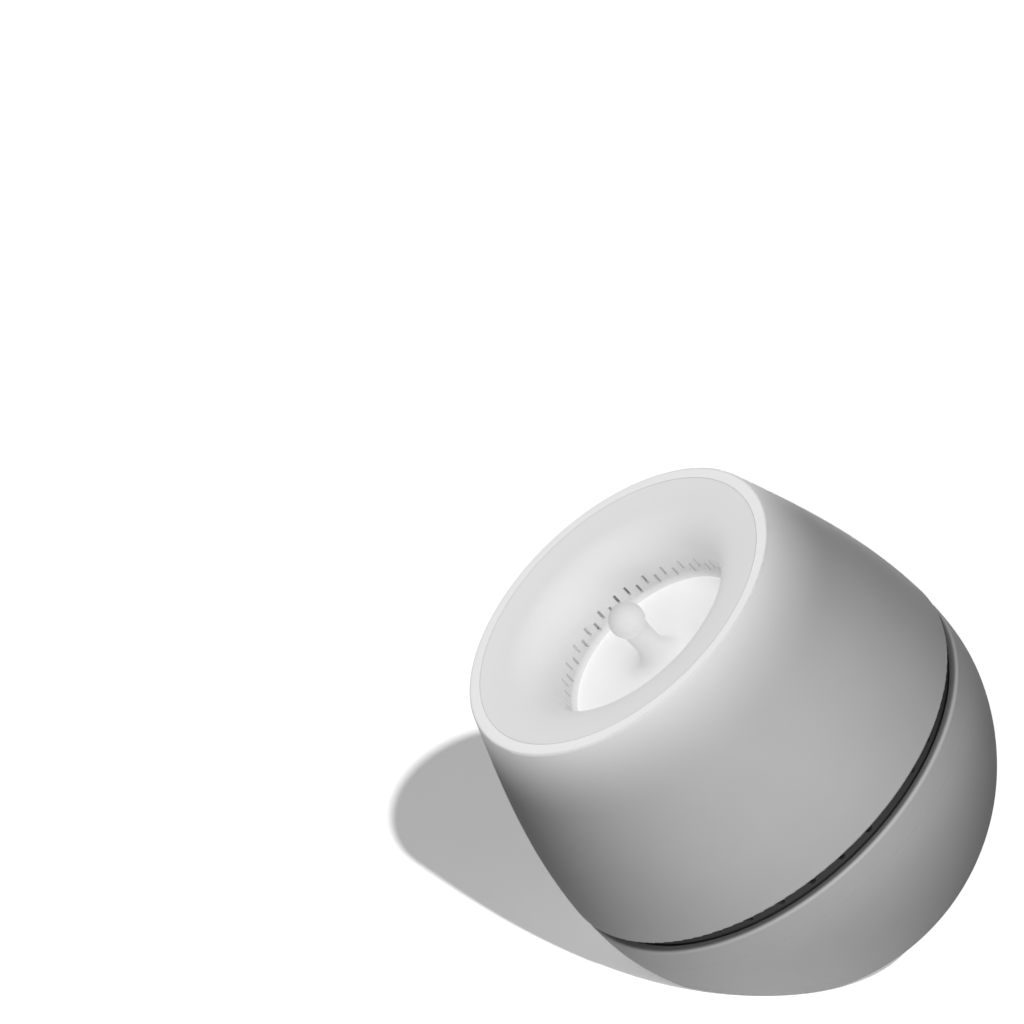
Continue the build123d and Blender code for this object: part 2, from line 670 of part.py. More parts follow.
def shutter_sleeve():
    sleeve = ring(sleeve_outer, sleeve_inner, floor_height - SLEEVE_SUNK, retainer_top)
    sleeve += ring(sleeve_outer + SLEEVE_FLANGE, sleeve_inner, retainer_top, retainer_top + FLANGE_THICK)
    window_top = rim_height - SLOT_FIRST + WINDOW_MARGIN
    window_bottom = rim_height - SLOT_FIRST - SLOT_LENGTH - SLOT_SHIFT - WINDOW_MARGIN
    pitch = 180 / SHUTTER_WINDOWS
    start = SLOT_MIDDLE + SHUTTER_BAR / 2
    windows = [sector(dial_radius, throat_outer, window_bottom, window_top,
                      start + index * pitch, pitch - SHUTTER_BAR) for index in range(SHUTTER_WINDOWS)]
    return sleeve - windows


def dial_retainer():
    holder = ring(retainer_inner + RETAINER_WIDTH, retainer_inner, retainer_bottom, retainer_top)
    lug = disc(SMALL_HEAD_RADIUS + LUG_WALL, retainer_bottom, retainer_top)
    holder += [spot * lug for spot in retainer_spots]
    return holder - [spot * disc(SMALL_SCREW_RADIUS + FIT, 0, retainer_top) for spot in retainer_spots]


# ---------------------------------------------------------------- motor and its carrier
def motor_carrier():
    cup_inner = MOTOR_RADIUS + FIT
    cup_outer = cup_inner + CUP_WALL
    cup_top = motor_gasket_top + CUP_PLATE
    plate_top = CARRIER_SEAT + CARRIER_THICK
    leg_inner = leg_circle - LEG_DEPTH / 2
    arm_length = pillar_circle - leg_circle
    arm_middles = spots(QUARTERS, leg_circle + arm_length / 2, PILLAR_TURN)
    rib_middles = spots(QUARTERS, (cup_inner + leg_inner) / 2, PILLAR_TURN)

    carrier = disc(carrier_radius, CARRIER_SEAT, plate_top) + disc(cup_outer, CARRIER_SEAT, cup_top)
    window_start = PILLAR_TURN + (360 / QUARTERS - CARRIER_WINDOW) / 2
    carrier -= [sector(leg_inner - CUP_WALL, cup_outer + CUP_WALL, CARRIER_SEAT, plate_top,
                       window_start + index * 360 / QUARTERS, CARRIER_WINDOW) for index in range(QUARTERS)]
    carrier += [spot * block(LEG_DEPTH, LEG_WIDTH, CARRIER_SEAT, led_bottom) for spot in leg_spots]
    carrier += [spot * block(leg_inner - cup_inner, CUP_WALL, CARRIER_SEAT, plate_top + RIB_HEIGHT)
                for spot in rib_middles]
    carrier += [spot * block(arm_length, 2 * BOSS_RADIUS, CARRIER_SEAT, plate_top) for spot in arm_middles]
    carrier += [spot * disc(BOSS_RADIUS, CARRIER_SEAT, plate_top) for spot in pillar_spots]
    carrier += [spot * disc(BAFFLE_POST_RADIUS, CARRIER_SEAT, BAFFLE_HEIGHT) for spot in baffle_spots]

    holes = [disc(cup_inner, CARRIER_SEAT, motor_gasket_top), disc(BUSHING_RADIUS + FIT, 0, cup_top)]
    holes += [spot * disc(SMALL_SCREW_RADIUS + FIT, 0, cup_top) for spot in motor_screw_spots]
    holes += [spot * disc(SCREW_RADIUS + FIT, CARRIER_SEAT, plate_top) for spot in pillar_spots]
    holes += [spot * small_pilot(led_bottom) for spot in leg_spots]
    holes += [spot * small_pilot(BAFFLE_HEIGHT) for spot in baffle_spots]
    return carrier - holes


def motor_can():
    can = disc(MOTOR_RADIUS, motor_bottom, MOTOR_TOP)
    can -= disc(MOTOR_RADIUS - MOTOR_WALL, motor_bottom, MOTOR_TOP - MOTOR_WALL)
    can -= disc(BUSHING_RADIUS + FIT / 2, motor_bottom, MOTOR_TOP)
    return can - [spot * disc(SMALL_SCREW_RADIUS + FIT / 2, 0, MOTOR_TOP) for spot in motor_screw_spots]


def motor_end_cap():
    cap = disc(MOTOR_RADIUS, motor_bottom - END_CAP_THICK, motor_bottom)
    cap += disc(MOTOR_RADIUS - MOTOR_WALL - FIT, motor_bottom, motor_bottom + END_CAP_PLUG)
    return cap - disc(SHAFT_RADIUS + SHAFT_PLAY, shaft_bottom, motor_bottom + END_CAP_PLUG)


def motor_magnets():
    outer = MOTOR_RADIUS - MOTOR_WALL - FIT
    return Part() + [sector(outer, outer - MAGNET_THICK, motor_middle - MAGNET_LENGTH / 2,
                            motor_middle + MAGNET_LENGTH / 2, half - MAGNET_ARC / 2, MAGNET_ARC)
                     for half in (0, 180)]


def motor_rotor():
    radius = MOTOR_RADIUS - MOTOR_WALL - FIT - MAGNET_THICK - ROTOR_GAP
    length = MAGNET_LENGTH - 2 * ROTOR_GAP
    rotor = ring(radius, SHAFT_RADIUS, motor_middle - length / 2, motor_middle + length / 2)
    groove = Pos(radius, 0, motor_middle) * Box(2 * ROTOR_GAP, ROTOR_GAP, 2 * length)
    return rotor - [Rot(Z=index * 360 / ROTOR_SLOTS) * groove for index in range(ROTOR_SLOTS)]


def motor_bushing():
    bottom = MOTOR_TOP - MOTOR_WALL
    return ring(BUSHING_RADIUS, SHAFT_RADIUS + SHAFT_PLAY, bottom, bottom + BUSHING_LENGTH)


def motor_gasket():
    pad = ring(MOTOR_RADIUS, BUSHING_RADIUS + FIT, MOTOR_TOP, motor_gasket_top)
    return pad - [spot * disc(SMALL_SCREW_RADIUS + FIT, 0, motor_gasket_top) for spot in motor_screw_spots]


def motor_terminals():
    top = motor_bottom - END_CAP_THICK
    tab = block(TERMINAL_WIDTH, TERMINAL_THICK, top - TERMINAL_LENGTH, top)
    return Part() + [Pos(side * TERMINAL_OFFSET, 0, 0) * tab for side in (-1, 1)]


def fan_shaft():
    return disc(SHAFT_RADIUS, shaft_bottom, SHAFT_TOP)


# ---------------------------------------------------------------- impeller and baffle
def blade():
    def edge(side):
        """One face of the blade, from root to tip."""
        places = []
        middle = (BLADE_INNER + impeller_radius) / 2
        for radius, share in ((BLADE_INNER, 0), (middle, BLADE_BEND), (impeller_radius, 1)):
            turn = radians(BLADE_SWEEP * share) + side * BLADE_THICK / 2 / radius
            places.append((radius * cos(turn), radius * sin(turn)))
        return places

    lead, trail = edge(-1), edge(1)
    outline = make_face([ThreePointArc(*lead), Line(lead[2], trail[2]), ThreePointArc(*trail),
                         Line(trail[0], lead[0])])
    return Pos(0, 0, IMPELLER_BOTTOM) * extrude(outline, IMPELLER_PLATE + BLADE_HEIGHT)


def impeller():
    wheel = disc(impeller_radius, IMPELLER_BOTTOM, IMPELLER_BOTTOM + IMPELLER_PLATE)
    wheel += disc(HUB_RADIUS, IMPELLER_BOTTOM, IMPELLER_BOTTOM + IMPELLER_PLATE + BLADE_HEIGHT)
    vane = blade()
    wheel += [Rot(Z=index * 360 / BLADE_COUNT) * vane for index in range(BLADE_COUNT)]
    return wheel - disc(SHAFT_RADIUS, IMPELLER_BOTTOM, SHAFT_TOP)


def baffle():
    top = BAFFLE_HEIGHT + BAFFLE_THICK
    crescent = disc(baffle_radius, BAFFLE_HEIGHT, top)
    crescent -= Pos(0, -BAFFLE_SHIFT, 0) * disc(baffle_radius - BAFFLE_RIM, BAFFLE_HEIGHT, top)
    return crescent - [spot * disc(SMALL_SCREW_RADIUS + FIT, 0, LONG) for spot in baffle_spots]


# ---------------------------------------------------------------- light ring
def led_board():
    board = ring(led_board_outer, led_board_inner, led_bottom, led_top)
    return board - [spot * disc(SMALL_SCREW_RADIUS + FIT, led_bottom, led_top) for spot in leg_spots]


def leds():
    lamp = block(LED_SIZE, LED_SIZE, led_top, led_top + LED_HEIGHT)
    return Part() + [spot * lamp
                     for spot in spots(LED_COUNT, led_board_inner + LED_INSET, 180 / LED_COUNT)]


def led_plug():
    plug = block(PLUG_DEPTH, PLUG_WIDTH, led_bottom - PLUG_HEIGHT, led_bottom)
    return Rot(Z=LED_PLUG_ANGLE) * Pos(led_board_inner + LED_PLUG_INSET, 0, 0) * plug


# ---------------------------------------------------------------- control board and what it carries
def control_board():
    board = rearward(0, board_front, BOARD_MIDDLE) * block(BOARD_WIDTH, BOARD_HEIGHT, 0, BOARD_THICK)
    holes = [rearward(x, board_front, z) * disc(SMALL_SCREW_RADIUS + FIT, 0, BOARD_THICK)
             for x, z in board_corners()]
    return board - holes


def board_screws():
    return Part() + [rearward(x, board_front, z) * Rot(X=180) * small_screw() for x, z in board_corners()]


def tact_switches():
    body = block(SWITCH_SIZE, SWITCH_SIZE, 0, SWITCH_HEIGHT)
    body -= disc(PLUNGER_RADIUS + RUN, SWITCH_HEIGHT - PLUNGER_SUNK - BUTTON_TRAVEL - RUN, SWITCH_HEIGHT)
    return Part() + [rearward(side * BUTTON_SPREAD, board_face, BUTTON_LEVEL) * body for side in (-1, 1)]


def plunger(side):
    pin = disc(PLUNGER_RADIUS, switch_face - PLUNGER_SUNK, plunger_end)
    return rearward(side * BUTTON_SPREAD, 0, BUTTON_LEVEL) * pin


def button(side):
    cap = disc(BUTTON_RADIUS, button_back, LONG)
    flange = disc(button_hole + BUTTON_RIM, button_back, button_back + BUTTON_FLANGE)
    stem = disc(PLUNGER_RADIUS, plunger_end, button_back)
    place = rearward(side * BUTTON_SPREAD, 0, BUTTON_LEVEL)
    return (place * (cap + flange + stem)) & (tilted * bowl_form(-BUTTON_PROUD))


def dc_jack():
    jack = block(JACK_SIZE, JACK_SIZE, 0, JACK_BODY_LENGTH) + disc(JACK_BARREL_RADIUS, 0, jack_length)
    jack -= disc(JACK_BORE, JACK_BACK_WALL, jack_length)
    return rearward(0, board_face, JACK_LEVEL) * jack


def dc_jack_pin():
    pin = disc(JACK_PIN_RADIUS, JACK_BACK_WALL, jack_length - JACK_PIN_RADIUS)
    return rearward(0, board_face, JACK_LEVEL) * pin


def control_chips():
    chip = block(CHIP_SIZE, CHIP_SIZE, -CHIP_HEIGHT, 0)
    return Part() + [rearward(side * CHIP_SPREAD, board_front, CHIP_LEVEL) * chip for side in (-1, 1)]


def capacitor():
    place = rearward(CAPACITOR_SIDE, board_front, CAPACITOR_LEVEL)
    return place * disc(CAPACITOR_RADIUS, -CAPACITOR_LENGTH, 0)


def board_plugs():
    plug = block(PLUG_WIDTH, PLUG_DEPTH, -PLUG_HEIGHT, 0)
    return Part() + [rearward(side * PLUG_SPREAD, board_front, PLUG_LEVEL) * plug for side in (-1, 1)]


# ---------------------------------------------------------------- leads
def lead(*route):
    """A round lead along straight runs with equal bends, in the upright body's own places."""
    path = FilletPolyline(*route, radius=LEAD_BEND)
    return tilted * sweep(Plane(origin=path @ 0, z_dir=path % 0) * Circle(LEAD_RADIUS), path=path)


def upright(x, y, z):
    """The upright body's own place for a point given sideways, rearward and up from the bowl's middle."""
    return (x, y * cos(lean) + z * sin(lean), z * cos(lean) - y * sin(lean))


def board_end(x):
    """A lead's last two points, straight out of its plug on the control board."""
    plug_face = board_front - PLUG_HEIGHT
    return [upright(x, plug_face - LEAD_STRAIGHT, PLUG_LEVEL), upright(x, plug_face, PLUG_LEVEL)]


def motor_lead(terminal_side, offset):
    tip = motor_bottom - END_CAP_THICK - TERMINAL_LENGTH
    x = terminal_side * TERMINAL_OFFSET
    return lead((x, 0, tip), (x, 0, tip - LEAD_STRAIGHT), *board_end(PLUG_SPREAD + offset))


def led_lead(offset):
    def place(circle, height):
        """A point out along the plug's own direction, beside it by the offset."""
        ahead = radians(LED_PLUG_ANGLE)
        return (circle * cos(ahead) + offset * sin(ahead), circle * sin(ahead) - offset * cos(ahead), height)

    plug_circle = led_board_inner + LED_PLUG_INSET
    plug_face = led_bottom - PLUG_HEIGHT
    leaning = plug_face - LEAD_ENTRY - LEAD_SLANT
    outside, face = board_end(-PLUG_SPREAD + offset)
    across = (LEAD_PASS[0] + offset, LEAD_PASS[1], LEAD_PASS[2])
    return lead(face, outside, across, place(lead_circle, LEAD_RISE), place(lead_circle, leaning),
                place(plug_circle, plug_face - LEAD_ENTRY), place(plug_circle, plug_face))


# ---------------------------------------------------------------- screws in their places
def screws(shape, places):
    return Part() + [place * shape for place in places]


def raised(places, height):
    return [place * Pos(0, 0, height) for place in places]


flange_places = raised(spots(QUARTERS, flange_screw_circle), swivel_top)
carrier_places = raised(pillar_spots, CARRIER_SEAT + CARRIER_THICK)
motor_places = raised(motor_screw_spots, motor_gasket_top + CUP_PLATE)
baffle_places = raised(baffle_spots, BAFFLE_HEIGHT + BAFFLE_THICK)
led_places = raised(leg_spots, led_top)
retainer_places = [place * Rot(X=180) for place in raised(retainer_spots, retainer_bottom)]
ballast_places = raised(ballast_spots, ballast_top)

# pieces drawn on the upright body's axis, then tilted
upright_nodes = {
    "upper_shell": upper_shell(),
    "tone_ring": tone_ring(),
    "vent_collar": vent_collar(),
    "swivel_flange": swivel_flange(),
    "flange_screws": screws(large_screw(), flange_places),
    "dish_funnel": dish_funnel(),
    "dial": dial(),
    "ball_knob": ball_knob(),
    "shutter_sleeve": shutter_sleeve(),
    "dial_retainer": dial_retainer(),
    "retainer_screws": screws(small_screw(), retainer_places),
    "motor_carrier": motor_carrier(),
    "carrier_screws": screws(large_screw(), carrier_places),
    "motor_can": motor_can(),
    "motor_end_cap": motor_end_cap(),
    "motor_magnets": motor_magnets(),
    "motor_rotor": motor_rotor(),
    "motor_bushing": motor_bushing(),
    "motor_gasket": motor_gasket(),
    "motor_terminals": motor_terminals(),
    "motor_screws": screws(small_screw(), motor_places),
    "fan_shaft": fan_shaft(),
    "impeller": impeller(),
    "baffle": baffle(),
    "baffle_screws": screws(small_screw(), baffle_places),
    "led_board": led_board(),
    "leds": leds(),
    "led_plug": led_plug(),
    "led_board_screws": screws(small_screw(), led_places),
}

# pieces that stand on the foot's own frame
nodes = {name: tilted * shape for name, shape in upright_nodes.items()}
nodes |= {
    "lower_shell": lower_shell(),
    "foot_pad": foot_pad(),
    "ballast": ballast(),
    "ballast_screws": screws(large_screw(), ballast_places),
    "control_board": control_board(),
    "board_screws": board_screws(),
    "tact_switches": tact_switches(),
    "power_plunger": plunger(-1),
    "glow_plunger": plunger(1),
    "power_button": button(-1),
    "glow_button": button(1),
    "dc_jack": dc_jack(),
    "dc_jack_pin": dc_jack_pin(),
    "control_chips": control_chips(),
    "capacitor": capacitor(),
    "board_plugs": board_plugs(),
    "motor_lead_red": motor_lead(1, LEAD_APART),
    "motor_lead_black": motor_lead(-1, -LEAD_APART),
    "led_lead_red": led_lead(LEAD_APART),
    "led_lead_black": led_lead(-LEAD_APART),
}

os.makedirs("parts", exist_ok=True)
for name, shape in nodes.items():
    export_step(shape, f"parts/{name}.step")
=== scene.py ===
import json
from functools import partial
from math import cos, radians, sin

import bpy
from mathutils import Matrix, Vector

# The looks of a white noise sound machine: matt white plastic whose dish and rim have a painted glow,
# emission that stands in for light from within.
# The CAD nodes keep their shapes, and each takes a procedural material, its own or its slot's.

# ---------------------------------------------------------------- places, metres
LEAN = radians(45)              # of the body's axis, forward from upright
BODY_AXIS = Vector((0.0, -sin(LEAN), cos(LEAN)))
BOWL_MIDDLE = Vector((0.0, 0.0, 0.060975))
RIM_HEIGHT = 0.0786             # bowl's middle to the rim's plane, along the body's axis
MIDDLE_LEVEL = BOWL_MIDDLE.dot(BODY_AXIS)
RIM_LEVEL = MIDDLE_LEVEL + RIM_HEIGHT

# ---------------------------------------------------------------- camera
CAMERA_AZIMUTH = 56.1           # degrees from the front, round to +X
CAMERA_ELEVATION = 10.3
CAMERA_AIM = Vector((-0.0212, -0.0780, 0.1444))
CAMERA_DISTANCE = 1.664
CAMERA_LENS = 200.7             # millimetres, on a sensor 36 mm wide

# ---------------------------------------------------------------- light
KEY_FROM = Vector((0.82, -0.40, 0.41))
SOFT_LAMPS = {                  # where each shines from, and its strength
    "key": (KEY_FROM, 0.55),
    "crown": (Vector((0.35, -0.55, 0.76)), 1.0),
    "back": (Vector((-0.83, 0.56, 0.05)), 1.6),
    "back_left": (Vector((-0.97, 0.07, 0.20)), 0.40),
    "back_right": (Vector((-0.55, 0.81, 0.20)), 0.30),
}
SOFT_ANGLE = 30.0               # degrees across, so that no edge of a shade is crisp
SHADOW_STRENGTH = 4.0           # the key's twin, which only lights the floor
SHADOW_ANGLE = 1.0              # degrees across, so that the shadow on the floor has a crisp edge
CARD_PLACE = Vector((0.328, -0.195, 0.03))
CARD_AIM = Vector((0.0, 0.0, 0.05))
CARD_SIZE = (0.42, 0.12)
CARD_POWER = 0.70               # watts
AMBIENT = 0.015                 # the world's light on the object
BACKGROUND = 1.0                # the world as the camera sees it

# ---------------------------------------------------------------- floor
FLOOR_SIZE = 40.0
NEAR_PALENESS = 0.56            # as the object sees it, by the foot, a painted pool of bounce light
FAR_PALENESS = 0.01             # and further off
PALENESS_REACH = (0.05, 0.12)   # from the foot, where the one changes into the other
FLOOR_LIFT = 0.40               # as the camera sees it, in full shadow
FLOOR_GAIN = 1.22               # and its answer to the lamps, so that it reaches white

# ---------------------------------------------------------------- glow: levels of light, and metres; all but the LEDs' is painted glow, emission on plastic that stands in for light through it
# painted glow on the upper shell, outside and inside: emission on plastic that is no lamp
SIDE_GLOW = 0.28                # outer wall at the rim
GLOW_REACH = 0.022              # rim to where the outer wall no longer glows
GLOW_FALL = 1.7                 # how steeply it fades
RIM_GLOW = 0.50                 # flat ring round the dish
RIM_EDGE = (0.0524, 0.0530)     # from the axis, over the ring's outer round
INSIDE_GLOW = 0.23              # upper shell's inner wall, seen through the slots
INSIDE_BAND = (0.047, 0.043)    # below the rim, where that wall begins to be lit and is fully lit
FACING_IN = -0.02               # how far a wall that faces in turns back on the bowl's middle
# painted glow on the dish, dimmer down the throat and at the seam, with painted light at the throat's
# foot
DISH_GLOW = 0.41                # dish by the rim
THROAT_GLOW = 0.10              # and down at the dial
DISH_DEPTH = 0.021              # between those two
FOOT_GLOW = 0.30                # at the throat's very foot
FOOT_BAND = (0.0225, 0.0205)    # below the rim, where that glow is full and where it begins
SEAM = (0.0490, 0.0494)         # from the axis, where the dish meets the ring
SEAM_SHADE = 0.55               # what is left of the glow there
# painted glow on the dial, dimmer up its stem
FLOOR_GLOW = 0.42               # dial's floor
STEM_GLOW = 0.25                # and its stem
STEM_FOOT = (0.0035, 0.009)     # from the axis, over the flare between them
# painted glow on the ball, emission on plastic that is no lamp
BALL_GLOW = 0.30
LED_GLOW = 8.0
GLOW_CLOUD = 0.03               # share by which an even glow varies each way
GLOW_CLOUD_SIZE = 0.03
GLOW_COLOUR = (1.0, 1.0, 1.0)

# ---------------------------------------------------------------- finishes: shares, and metres
SHELL_WHITE = (0.60, 0.60, 0.60)
SHELL_ROUGHNESS = 0.62
# painted shade on the lip's inner half, in the groove under the upper shell
LIP_PAINTED_SHADE = (0.22, 0.22, 0.22)
LIP_EDGE = (0.0690, 0.0696)     # from the axis, over the lip's crest, where the painted shade inside ends
LIP_LEVEL = -0.004              # from the bowl's middle, up the axis, to where the painted shade begins
NOISE_MIDDLE = (0.25, 0.75)     # where about all of a noise's values lie
CLOUD_SIZE = 0.02               # plastic's clouds of colour
SHEEN_SIZE = 0.006              # plastic's patches of gloss
SHEEN_SPREAD = 0.04             # how far plastic's roughness strays each way
GRAIN_DETAIL = 3.0
SMOOTH_RELIEF = 0.00001         # depth of glossy plastic's grain and of metal's lines
LINE_SIZE = 0.0004              # metal's lines, across
LINE_STRETCH = (1.0, 1.0, 12.0)     # so that they run along Z
LINE_DETAIL = 4.0
LINE_SPREAD = 0.08              # how far metal's roughness strays each way
TARNISH_SIZE = 0.004
TARNISH = (0.88, 1.06)          # its factor on the colour, at its darkest and brightest


# ---------------------------------------------------------------- nodes
def new_material(name):
    material = bpy.data.materials.new(name)
    material.use_nodes = True
    material.node_tree.nodes.clear()
    return material


def node(tree, kind, inputs, **settings):
    """A node whose inputs, named or counted, are set to values or linked to other nodes' sockets."""
    made = tree.nodes.new(kind)
    for key, value in settings.items():
        setattr(made, key, value)
    for key, value in inputs.items():
        if isinstance(value, bpy.types.NodeSocket):
            tree.links.new(value, made.inputs[key])
        else:
            made.inputs[key].default_value = value
    return made


def work_out(tree, operation, first, second):
    """What arithmetic on two numbers gives."""
    return node(tree, "ShaderNodeMath", {0: first, 1: second}, operation=operation).outputs[0]


def combine(tree, operation, *vectors):
    """The vector that arithmetic on vectors gives."""
    inputs = dict(enumerate(vectors))
    return node(tree, "ShaderNodeVectorMath", inputs, operation=operation).outputs["Vector"]


def measure(tree, operation, *vectors):
    """The number that arithmetic on vectors gives."""
    inputs = dict(enumerate(vectors))
    return node(tree, "ShaderNodeVectorMath", inputs, operation=operation).outputs["Value"]


def ramp(tree, value, ends, low, high, **settings):
    """A value that goes from low to high, each a number or a socket, between those two ends."""
    start, end = ends
    inputs = {"Value": value, "From Min": start, "From Max": end, "To Min": low, "To Max": high}
    return node(tree, "ShaderNodeMapRange", inputs, **settings).outputs["Result"]


def noise(tree, place, size, detail=2.0):
    """Soft noise whose lumps are about that size across, in metres."""
    inputs = {"Vector": place, "Scale": 1 / size, "Detail": detail}
    return node(tree, "ShaderNodeTexNoise", inputs).outputs[0]


def spread(tree, value, low, high):
    """A noise stretched over the range from low to high."""
    return ramp(tree, value, NOISE_MIDDLE, low, high)


def shaded(tree, colour, factor):
    """The colour times a factor that varies over the surface."""
    inputs = {0: colour, "Scale": factor}
    return node(tree, "ShaderNodeVectorMath", inputs, operation="SCALE").outputs["Vector"]


def output(tree, shader):
    node(tree, "ShaderNodeOutputMaterial", {"Surface": shader.outputs[0]})


# ---------------------------------------------------------------- where a point lies on the body
def object_place(tree):
    return node(tree, "ShaderNodeTexCoord", {}).outputs["Object"]


def from_middle(tree):
    """The way from the bowl's middle to a point."""
    return combine(tree, "SUBTRACT", object_place(tree), BOWL_MIDDLE)


def from_axis(tree):
    """How far a point lies from the body's axis."""
    return measure(tree, "LENGTH", combine(tree, "CROSS_PRODUCT", from_middle(tree), BODY_AXIS))


def along_axis(tree):
    """How far along the body's axis a point lies."""
    return measure(tree, "DOT_PRODUCT", object_place(tree), BODY_AXIS)


def below_rim(tree, start, low, high, end=0.0):
    """A value that climbs along the axis, from low to high between those two depths below the rim."""
    return ramp(tree, along_axis(tree), (RIM_LEVEL - start, RIM_LEVEL - end), low, high)


def faces_in(tree):
    """1 on a wall that faces the bowl's middle and 0 on one that faces out."""
    normal = node(tree, "ShaderNodeTexCoord", {}).outputs["Normal"]
    facing = measure(tree, "DOT_PRODUCT", normal, from_middle(tree))
    return work_out(tree, "LESS_THAN", facing, FACING_IN)


# ---------------------------------------------------------------- glow
def painted_outer_glow(tree):
    """Painted glow that stands in for the light through the outer wall, brightest on the ring round the
    dish.
    """
    near = below_rim(tree, GLOW_REACH, 0.0, 1.0)
    faded = work_out(tree, "POWER", near, GLOW_FALL)
    wall = work_out(tree, "MULTIPLY", faded, SIDE_GLOW)
    ring_and_wall = ramp(tree, from_axis(tree), RIM_EDGE, RIM_GLOW, wall)
    reached = work_out(tree, "GREATER_THAN", near, 0.0)
    return work_out(tree, "MULTIPLY", ring_and_wall, reached)


def painted_inner_glow(tree):
    """Painted light on the same shell's inner wall, level with the slots."""
    start, end = INSIDE_BAND
    level = below_rim(tree, start, 0.0, INSIDE_GLOW, end=end)
    return work_out(tree, "MULTIPLY", faces_in(tree), level)


# painted glow: the brighter of the outer and inner painted glows
def painted_shell_glow(tree):
    return work_out(tree, "MAXIMUM", painted_outer_glow(tree), painted_inner_glow(tree))


def painted_dish_glow(tree):
    """Painted glow that stands in for the light through the dish, less down in the throat and at the
    seam round the dish, which paints shade there.
    """
    start, end = FOOT_BAND
    sloping = below_rim(tree, DISH_DEPTH, THROAT_GLOW, DISH_GLOW)
    level = below_rim(tree, start, FOOT_GLOW, sloping, end=end)
    seam = ramp(tree, from_axis(tree), SEAM, 1.0, SEAM_SHADE)
    return work_out(tree, "MULTIPLY", level, seam)


def painted_dial_glow(tree):
    """Painted glow that stands in for the light through the dial's floor, less up its stem, which paints
    shade there.
    """
    return ramp(tree, from_axis(tree), STEM_FOOT, STEM_GLOW, FLOOR_GLOW, interpolation_type="SMOOTHSTEP")


def even_glow(tree, level):
    """A glow at about the same level all over, with faint clouds in it."""
    clouds = noise(tree, object_place(tree), GLOW_CLOUD_SIZE)
    return spread(tree, clouds, (1 - GLOW_CLOUD) * level, (1 + GLOW_CLOUD) * level)


# ---------------------------------------------------------------- materials
def lip_painted_shade(tree, colour):
    """The colour, and painted shade on the lip's inner half, in the groove under the upper shell."""
    above = work_out(tree, "GREATER_THAN", along_axis(tree), MIDDLE_LEVEL + LIP_LEVEL)
    inside = ramp(tree, from_axis(tree), LIP_EDGE, 1.0, 0.0)
    dark = work_out(tree, "MULTIPLY", above, inside)
    shades = {"Factor": dark, "A": colour, "B": LIP_PAINTED_SHADE}
    return node(tree, "ShaderNodeMix", shades, data_type="VECTOR").outputs[1]


def moulded(name, colour, roughness, grain=0.0006, relief=0.00002, cloud=0.02, glow=None, paint=None,
            **gloss):
    """Moulded plastic: a fine eroded texture, faint clouds in the colour and an uneven sheen."""
    material = new_material(name)
    tree = material.node_tree
    place = object_place(tree)
    texture = noise(tree, place, grain, detail=GRAIN_DETAIL)
    tone = spread(tree, noise(tree, place, CLOUD_SIZE), 1 - cloud, 1 + cloud)
    uneven = noise(tree, place, SHEEN_SIZE)
    sheen = spread(tree, uneven, roughness - SHEEN_SPREAD, roughness + SHEEN_SPREAD)
    bump = node(tree, "ShaderNodeBump", {"Height": texture, "Distance": relief, "Strength": 1.0})
    base = paint(tree, colour) if paint else colour
    inputs = {"Base Color": shaded(tree, base, tone), "Roughness": sheen, "Normal": bump.outputs[0]}
    # emission: painted glow on the casing's plastic, or the LEDs' own light
    if glow:
        inputs["Emission Color"] = shaded(tree, GLOW_COLOUR, glow(tree))
        inputs["Emission Strength"] = 1.0
    output(tree, node(tree, "ShaderNodeBsdfPrincipled", inputs | gloss))
    return material


def metal(name, colour, roughness):
    """Bare metal with fine turned or drawn lines and a little tarnish."""
    material = new_material(name)
    tree = material.node_tree
    place = object_place(tree)
    drawn = combine(tree, "DIVIDE", place, LINE_STRETCH)
    lines = noise(tree, drawn, LINE_SIZE, detail=LINE_DETAIL)
    tarnish = spread(tree, noise(tree, place, TARNISH_SIZE), *TARNISH)
    sheen = spread(tree, lines, roughness - LINE_SPREAD, roughness + LINE_SPREAD)
    bump = node(tree, "ShaderNodeBump", {"Height": lines, "Distance": SMOOTH_RELIEF, "Strength": 1.0})
    inputs = {"Base Color": shaded(tree, colour, tarnish), "Metallic": 1.0, "Roughness": sheen,
              "Normal": bump.outputs[0]}
    output(tree, node(tree, "ShaderNodeBsdfPrincipled", inputs))
    return material


